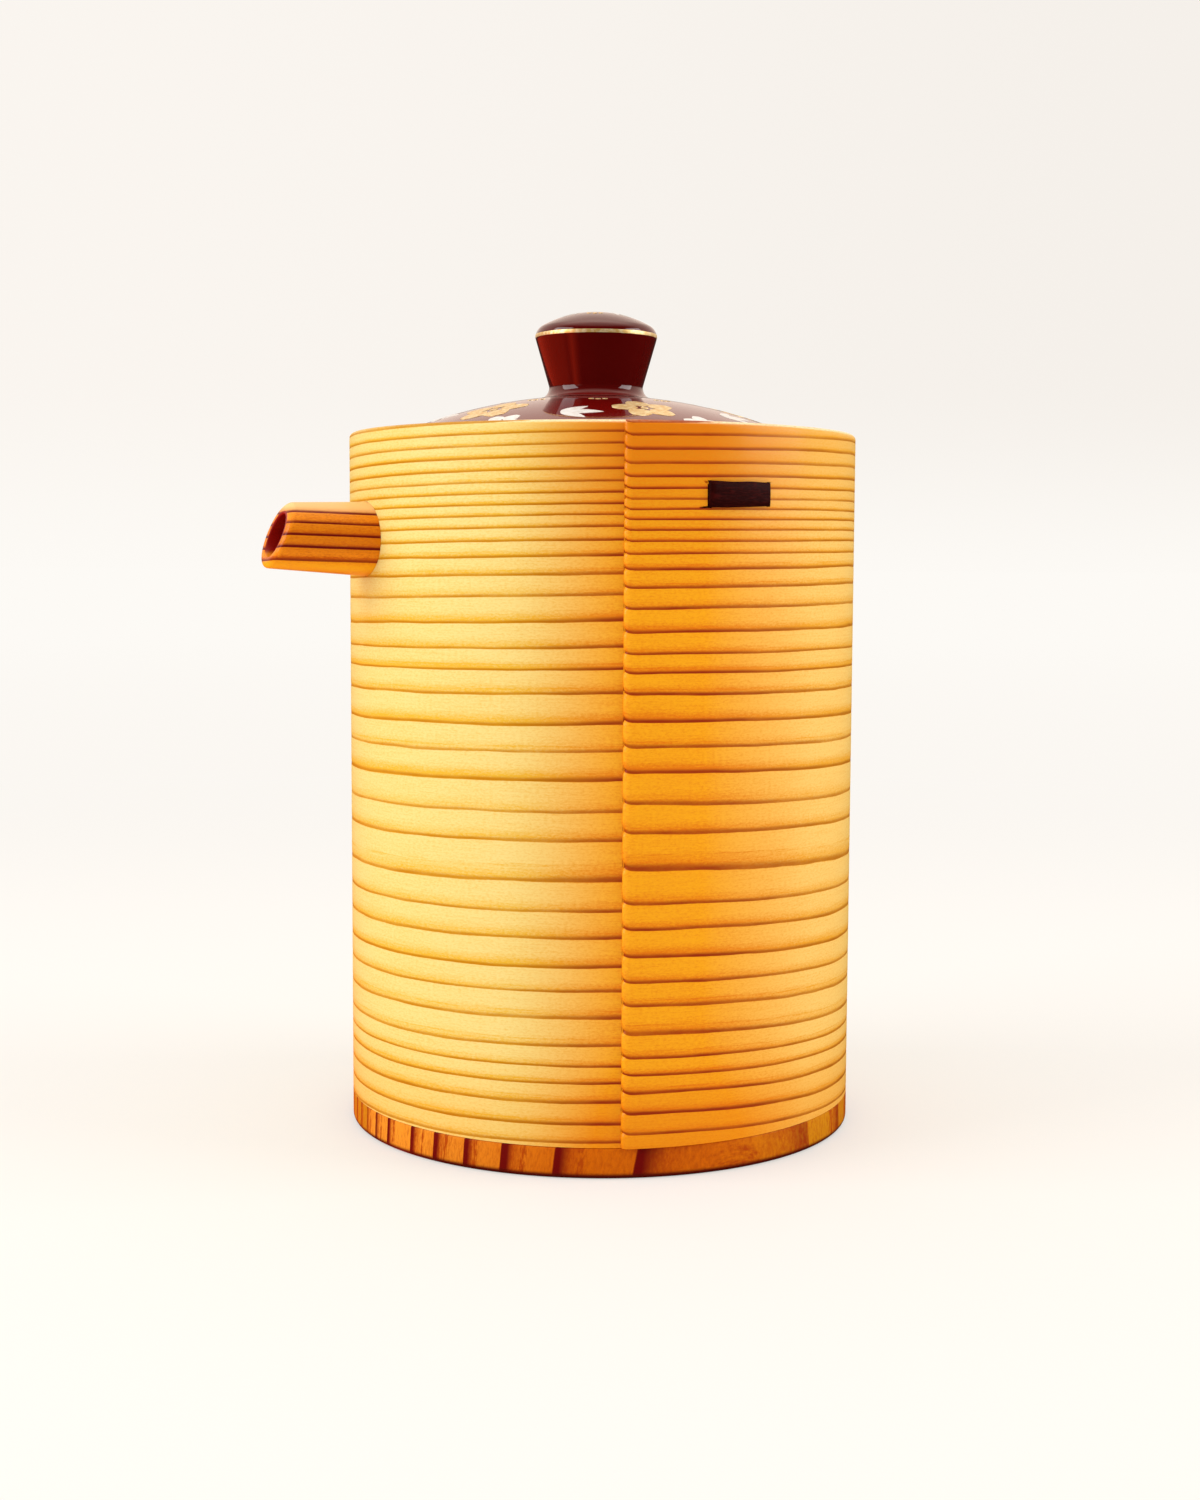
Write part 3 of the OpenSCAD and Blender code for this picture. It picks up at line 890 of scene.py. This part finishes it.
collar_inside = COLLAR_RADIUS - COLLAR_WALL
collar_edge = COLLAR_BOTTOM + COLLAR_EASE
lid_outline = [(r, dome_height(r, -DOME_THICKNESS)) for r in (collar_inside * i / 24 for i in range(25))]
lid_outline += arc(collar_inside + COLLAR_EASE, collar_edge, COLLAR_EASE, 180, 270, 4)
lid_outline += arc(COLLAR_RADIUS - COLLAR_EASE, collar_edge, COLLAR_EASE, -90, 0, 4)
lid_outline += [(COLLAR_RADIUS, LID_SEAT)]
lid_outline += arc(LID_RADIUS - COLLAR_EASE, LID_SEAT + COLLAR_EASE, COLLAR_EASE, -90, 0, 4)
lid_outline += arc(LID_RADIUS - RIM_EASE, LID_SEAT + LID_EDGE - RIM_DROP, RIM_EASE, 0, 62, 6)
socket = TENON_RADIUS + GLUE_LINE
socket_floor = CROWN - TENON_LENGTH - GLUE_LINE
top_run = LID_RADIUS - 1.0 * MM - socket
lid_outline += [(r, dome_height(r)) for r in (socket + top_run * (1 - i / 40) for i in range(41))]
lid_outline += [(socket, socket_floor), (0.0, socket_floor)]
lid = turned("lid_dome", lid_outline, lacquer_material, centre=LID_CENTRE, steps=224)
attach(lid, "lid")
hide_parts("lid")


# ----------------------------------------------------------------------
# The knob. Turned from one piece, waisted below a rounded brim so that two fingers can lift it,
# lacquered like the lid and glued into it by a tenon. A fine gold line runs round the brim.

KNOB_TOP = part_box("knob")[1].z
CAP_RADIUS = 20.0 * MM
BRIM_ROUNDING = 2.2 * MM
BRIM_X = 10.8 * MM - BRIM_ROUNDING
BRIM_Z = KNOB_TOP - CAP_RADIUS + sqrt((CAP_RADIUS - BRIM_ROUNDING) ** 2 - BRIM_X**2)
NECK_RADIUS = 8.35 * MM
FOOT_FLARE = 2.2 * MM
FOOT_RADIUS = NECK_RADIUS + FOOT_FLARE
FOOT_Z = dome_height(FOOT_RADIUS)
NECK_Z = FOOT_Z + FOOT_FLARE
CAP_LEAN = atan2(BRIM_Z - KNOB_TOP + CAP_RADIUS, BRIM_X)
FLANK_RUN = hypot(BRIM_X - NECK_RADIUS, BRIM_Z - NECK_Z)
FLANK_LEAN = atan2(BRIM_Z - NECK_Z, BRIM_X - NECK_RADIUS) - asin(BRIM_ROUNDING / FLANK_RUN)
BRIM_START = FLANK_LEAN - pi / 2


def knob_outline():
    outline = [(0.0, CROWN - TENON_LENGTH), (TENON_RADIUS, CROWN - TENON_LENGTH)]
    outline += [(radius, dome_height(radius, GLUE_LINE)) for radius in (TENON_RADIUS, FOOT_RADIUS)]
    outline += arc(FOOT_RADIUS, NECK_Z, FOOT_FLARE, -90, -180, 12)[1:]
    outline += arc(BRIM_X, BRIM_Z, BRIM_ROUNDING, degrees(BRIM_START), degrees(CAP_LEAN), 16)
    outline += arc(0.0, KNOB_TOP - CAP_RADIUS, CAP_RADIUS, degrees(CAP_LEAN), 90, 20)[1:]
    return outline


knob = turned("knob_turned", knob_outline(), lacquer_material, centre=LID_CENTRE, steps=128)
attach(knob, "lid")
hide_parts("knob")


# ----------------------------------------------------------------------
# The gold line and the painted blossoms. Gold and white lacquer, laid on the maroon with a fine
# brush: a line round the knob's brim, a ring of blossoms and buds on the dome, one on the knob.

PAINT = 0.05 * MM


def gold(tree):
    place = tree.here()
    worn = tree.noise(place, 1.1, 3.0, 0.7)
    colour = tree.blend(worn.rise(0.35, 0.7), (0.80, 0.50, 0.15), (0.98, 0.84, 0.50))
    bump = tree.bump(tree.noise(place, 7.0), 0.3, 0.03 * MM)
    return {"Base Color": colour, "Roughness": 0.28 + worn * 0.2, "Normal": bump}


def white_paint(tree):
    brushed = tree.noise(tree.here(), 0.9, 3.0, 0.6)
    colour = tree.blend(brushed.rise(0.3, 0.75), (0.84, 0.77, 0.68), (0.95, 0.93, 0.88))
    bump = tree.bump(brushed, 0.3, 0.04 * MM)
    return {"Base Color": colour, "Roughness": 0.3 + brushed * 0.2, "Normal": bump}


gold_material = new_material("gold paint", gold, Metallic=0.6)
white_material = new_material("white paint", white_paint, Coat_Weight=0.4, Coat_Roughness=0.15)

LINE_LOW = -5
LINE_HIGH = 11
line_section = arc(BRIM_X, BRIM_Z, BRIM_ROUNDING + PAINT, LINE_LOW, LINE_HIGH)
line_section += arc(BRIM_X, BRIM_Z, BRIM_ROUNDING - PAINT, LINE_HIGH, LINE_LOW)
gold_line = turned("gold_line", line_section, gold_material, centre=LID_CENTRE, steps=128, closed=True)
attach(gold_line, "lid")


def flat_motif(shapes):
    """Flat leaves and petals, each a closed outline of points, with a little thickness."""
    mesh = bmesh.new()
    for outline in shapes:
        base = [mesh.verts.new((x, y, -PAINT)) for x, y in outline]
        top = [mesh.verts.new((x, y, PAINT)) for x, y in outline]
        mesh.faces.new(top)
        mesh.faces.new(base[::-1])
        for i in range(len(outline)):
            j = (i + 1) % len(outline)
            mesh.faces.new((base[i], base[j], top[j], top[i]))
    bmesh.ops.triangulate(mesh, faces=[face for face in mesh.faces if len(face.verts) > 4])
    return from_bmesh("motif", mesh)


def petal(length, width, heading, start=0.0, notch=0.0, steps=9):
    """A petal's outline, from a start distance outwards; a notch splits its tip."""
    outline = []
    for number in range(2 * steps - 2):
        step = number if number < steps else 2 * steps - 2 - number
        part = step / (steps - 1)
        half = width / 2 * sin(pi * part**0.75) ** 0.8
        tip = max(0.0, part - 0.8) * 5 * (1 - min(1, half / width * 6))
        outline.append((start + length * (part - notch * tip), half if number >= steps else -half))
    turn = radians(heading)
    return [(x * cos(turn) - y * sin(turn), x * sin(turn) + y * cos(turn)) for x, y in outline]


def dot(x, y, radius):
    return [(x + radius * cos(radians(45 * i)), y + radius * sin(radians(45 * i))) for i in range(8)]


def motif_ring_group():
    group, tree, given = new_group(
        "ring of motifs",
        Float=(
            "Ring radius", "Dome radius", "Dome centre", "Lid x", "Lid y",
            "First", "Own turn", "Turn spread", "Size", "Size spread",
        ),
        Int=("Count", "Seed"),
        Object=("Motif",),
        Material=("Material",),
    )
    radius, seed = given["Ring radius"], given["Seed"]
    ring = tree.add("GeometryNodeMeshCircle", {}, {"Vertices": given["Count"], "Radius": radius})
    x, y, _ = tree.point()
    heading = tree.math("ARCTAN2", y, x) + given["First"]
    ring = tree.moved(ring, tree.join(radius * heading.unary("COSINE"), radius * heading.unary("SINE"), 0.0))
    turn_luck, size_luck = [
        tree.add(
            "FunctionNodeRandomValue",
            {"data_type": "FLOAT"},
            {"Min_001": -1.0, "Max_001": 1.0, "Seed": its_seed},
            out=1,
        )
        for its_seed in (seed, seed + 1.0)
    ]
    x, y, _ = tree.point()
    own = tree.math("ARCTAN2", y, x) + given["Own turn"] + turn_luck * given["Turn spread"]
    size = given["Size"] * (1.0 + size_luck * given["Size spread"])
    turned_and_scaled = {"Rotation": tree.join(0.0, 0.0, own), "Scale": tree.join(size, size, 1.0)}
    placed = tree.add(
        "GeometryNodeInstanceOnPoints",
        {},
        {"Points": ring, "Instance": tree.shape_of(given["Motif"]), **turned_and_scaled},
    )
    real = tree.add("GeometryNodeRealizeInstances", {}, {"Geometry": placed})

    # The flat ring is dropped on the dome, so each motif follows the dome's curve.
    x, y, z = tree.point()
    reach = given["Dome radius"] + z
    height = given["Dome centre"] + (reach * reach - x * x - y * y).unary("SQRT")
    laid = tree.moved(real, tree.join(x + given["Lid x"], y + given["Lid y"], height))
    close_group(tree, laid, given["Material"])
    return group


motif_group = motif_ring_group()
blossom = [petal(3.3 * MM, 2.7 * MM, 72 * i, start=0.75 * MM, notch=0.12) for i in range(5)]
blossom += [dot(0.0, 0.0, 0.45 * MM)]
spray = [petal(4.4 * MM, 1.5 * MM, 0), petal(3.4 * MM, 1.2 * MM, 38), petal(3.4 * MM, 1.2 * MM, -38)]
buds = [dot(2.2 * MM * cos(radians(a)), 2.2 * MM * sin(radians(a)), 0.42 * MM) for a in (-28, 0, 28)]
DOME_SEAT = {"Dome radius": DOME_RADIUS, "Dome centre": DOME_CENTRE}
KNOB_SEAT = {"Dome radius": CAP_RADIUS, "Dome centre": KNOB_TOP - CAP_RADIUS}
FIRST_SEED = 11
MOTIFS = (
    # name, shapes, paint, seat, ring radius in mm, count, first and own turn in degrees,
    # turn spread in radians, size, size spread
    ("gold_blossoms", blossom, gold_material, DOME_SEAT, 26.0, 6, 22.0, 20.0, 0.6, 1.6, 0.1),
    ("white_leaves", spray, white_material, DOME_SEAT, 29.0, 6, 52.0, 95.0, 0.35, 1.5, 0.1),
    ("white_blossoms", blossom, white_material, DOME_SEAT, 34.0, 6, 36.0, 50.0, 0.6, 0.95, 0.1),
    ("gold_buds", buds, gold_material, DOME_SEAT, 15.2, 9, 5.0, 0.0, 0.5, 1.2, 0.2),
    ("gold_edge_leaves", spray, gold_material, DOME_SEAT, 35.0, 6, 6.0, 80.0, 0.5, 0.8, 0.1),
    ("white_knob_leaves", spray, white_material, KNOB_SEAT, 3.4, 3, 60.0, 10.0, 0.1, 0.8, 0.05),
    ("gold_knob_buds", buds, gold_material, KNOB_SEAT, 3.0, 3, 0.0, 0.0, 0.1, 1.0, 0.05),
)
for number, motif_row in enumerate(MOTIFS):
    name, shapes, paint, seat, radius, count, first, own, spread, size, size_spread = motif_row
    motif = flat_motif(shapes)
    values = {
        **seat, "Ring radius": radius * MM, "Lid x": LID_CENTRE[0], "Lid y": LID_CENTRE[1],
        "First": radians(first), "Own turn": radians(own), "Turn spread": spread, "Size": size,
        "Size spread": size_spread, "Count": count, "Seed": FIRST_SEED + number,
        "Motif": motif, "Material": paint,
    }
    piece = grown(name, motif_group, values)
    bpy.data.objects.remove(motif)
    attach(piece, "lid")


# ----------------------------------------------------------------------
# The stage: a white floor, the sky-like surround, two soft lamps at the sides and the camera.

CAMERA_HEADING = radians(-26.4)
CAMERA_DISTANCE = 376.5 * MM
CAMERA_HEIGHT = RIM_HEIGHT - 22.6 * MM
CAMERA_PITCH = radians(5.13)
CAMERA_ROLL = radians(0.25)
CAMERA_SHIFT = 0.2 * MM

view = bpy.data.cameras.new("camera")
view.lens = 50.0
view.sensor_fit = "VERTICAL"
view.sensor_height = 36.0
view.clip_start = 0.01
camera = in_scene("camera", view)
spot = Vector((sin(CAMERA_HEADING), -cos(CAMERA_HEADING), 0.0)) * CAMERA_DISTANCE
spot -= Vector((cos(CAMERA_HEADING), sin(CAMERA_HEADING), 0.0)) * CAMERA_SHIFT
spot.z = CAMERA_HEIGHT
aim = Matrix.Rotation(CAMERA_HEADING, 4, "Z") @ Matrix.Rotation(pi / 2 - CAMERA_PITCH, 4, "X")
camera.matrix_world = Matrix.Translation(spot) @ aim @ Matrix.Rotation(CAMERA_ROLL, 4, "Z")
bpy.context.scene.camera = camera

WALL_LEFT = (0.956, 0.914, 0.866)
WALL_RIGHT = (0.913, 0.871, 0.823)
WALL_LOW = (0.982, 0.956, 0.915)
FLOOR_NEAR = (0.965, 0.93, 0.885)
REFLECTED = (1.0, 0.80, 0.68)
SHADOW_SHARE = 0.5
LAMP_DISTANCE = 0.95
BEHIND = (-sin(CAMERA_HEADING), cos(CAMERA_HEADING))


def seen_directly(tree):
    """1 for rays that show the surround itself: from the camera, in a reflection or through glass.
    And 1 for those in a reflection alone."""
    path = tree.add("ShaderNodeLightPath", {}, {}).socket.node
    kinds = ("Is Camera Ray", "Is Glossy Ray", "Is Transmission Ray")
    camera_ray, glossy_ray, glass_ray = [Wire(tree, path.outputs[name]) for name in kinds]
    return camera_ray.at_least(glossy_ray).at_least(glass_ray), glossy_ray


def red_strip(tree, right, behind):
    """A warm strip at the camera's left and a softer glow past it, seen only in reflections."""
    heading = tree.math("ARCTAN2", right, -behind) * (180 / pi)
    strip = (1.0 - abs(heading + 50.0) / 17.0).at_least(0.0)
    return strip, (1.0 - heading.rise(-75.0, -45.0)) * heading.rise(-175.0, -130.0)


def new_tree(data):
    """The empty node tree of a material or a world."""
    data.use_nodes = True
    data.node_tree.nodes.clear()
    return Tree(data.node_tree)


floor_mesh = bmesh.new()
bmesh.ops.create_circle(floor_mesh, cap_ends=True, segments=64, radius=30.0)
floor_material = bpy.data.materials.new("floor")
tree = new_tree(floor_material)
x, y, _ = tree.here()
away = (x * x + y * y).unary("SQRT") / 1000.0
colour = tree.blend(away.rise(0.15, 2.6), FLOOR_NEAR, WALL_LOW)
share = SHADOW_SHARE * (1.0 - away.rise(0.12, 0.6))
seen, in_reflection = seen_directly(tree)
plain = tree.add("ShaderNodeBsdfDiffuse", {}, {"Color": (0.78, 0.76, 0.73)})
shadow_colour = tree.blend(share * (1.0 - in_reflection) * 0.9, (0.0, 0.0, 0.0), colour)
shadowed = tree.add("ShaderNodeBsdfDiffuse", {}, {"Color": shadow_colour})
strip, beside = red_strip(tree, x * BEHIND[1] - y * BEHIND[0], x * BEHIND[0] + y * BEHIND[1])
strip = strip.at_least(beside * 0.65) * in_reflection
colour = tree.blend(in_reflection, colour, tree.blend(strip, (0.04, 0.016, 0.012), (1.0, 0.06, 0.02)))
strength = (1.0 - share) * (1.0 - in_reflection) + in_reflection * (1.0 + strip * 1.1)
glow = tree.add("ShaderNodeEmission", {}, {"Color": colour, "Strength": strength})
bright = tree.add("ShaderNodeAddShader", {}, {0: shadowed, 1: glow})
surface = tree.add("ShaderNodeMixShader", {}, {0: seen, 1: plain, 2: bright})
tree.add("ShaderNodeOutputMaterial", {}, {"Surface": surface})
floor = finished("floor", floor_mesh, floor_material)

world = bpy.data.worlds.new("surround")
bpy.context.scene.world = world
tree = new_tree(world)
x, y, z = tree.split(tree.add("ShaderNodeTexCoord", {}, {}))
behind = x * BEHIND[0] + y * BEHIND[1]
right = x * BEHIND[1] - y * BEHIND[0]
wall = tree.blend(right.rise(-0.25, 0.3), WALL_LEFT, WALL_RIGHT)
wall = tree.blend(z.rise(-0.02, 0.09), WALL_LOW, wall)
seen, in_reflection = seen_directly(tree)
wall = tree.blend(in_reflection, wall, REFLECTED)
dim = 0.97 * (1.0 - behind.rise(-0.3, 0.3) * z.rise(0.03, 0.22)) - z.rise(0.7, 0.98) * 1.2
overhead = z.rise(0.4, 0.9) * 0.6 + 0.56
light = tree.add("ShaderNodeBackground", {}, {"Color": (1.0, 0.98, 0.95), "Strength": overhead})
strip = red_strip(tree, right, behind)[0] * in_reflection * (1.0 - z.rise(0.1, 0.5))
wall = tree.blend(strip, wall, (1.0, 0.12, 0.03))
strength = 1.0 - in_reflection * dim + strip * 1.1
shown = tree.add("ShaderNodeBackground", {}, {"Color": wall, "Strength": strength})
surface = tree.add("ShaderNodeMixShader", {}, {0: seen, 1: light, 2: shown})
tree.add("ShaderNodeOutputWorld", {}, {"Surface": surface})


def soft_lamp(name, heading, height, size, watts):
    """A square lamp that faces the middle of the body. Heading is in degrees from the camera."""
    lamp = bpy.data.lights.new(name, "AREA")
    lamp.shape = "SQUARE"
    lamp.size = size
    lamp.energy = watts
    angle = CAMERA_HEADING + radians(heading)
    place = Vector((sin(angle) * LAMP_DISTANCE, -cos(angle) * LAMP_DISTANCE, height))
    towards = (Vector((0.0, 0.0, RIM_HEIGHT / 2)) - place).to_track_quat("-Z", "Y").to_matrix().to_4x4()
    in_scene(name, lamp).matrix_world = Matrix.Translation(place) @ towards


soft_lamp("left lamp", -72.0, 0.5, 0.7, 5.9)
soft_lamp("right lamp", 82.0, 0.45, 0.6, 4.6)

bpy.context.scene.view_settings.view_transform = "Standard"
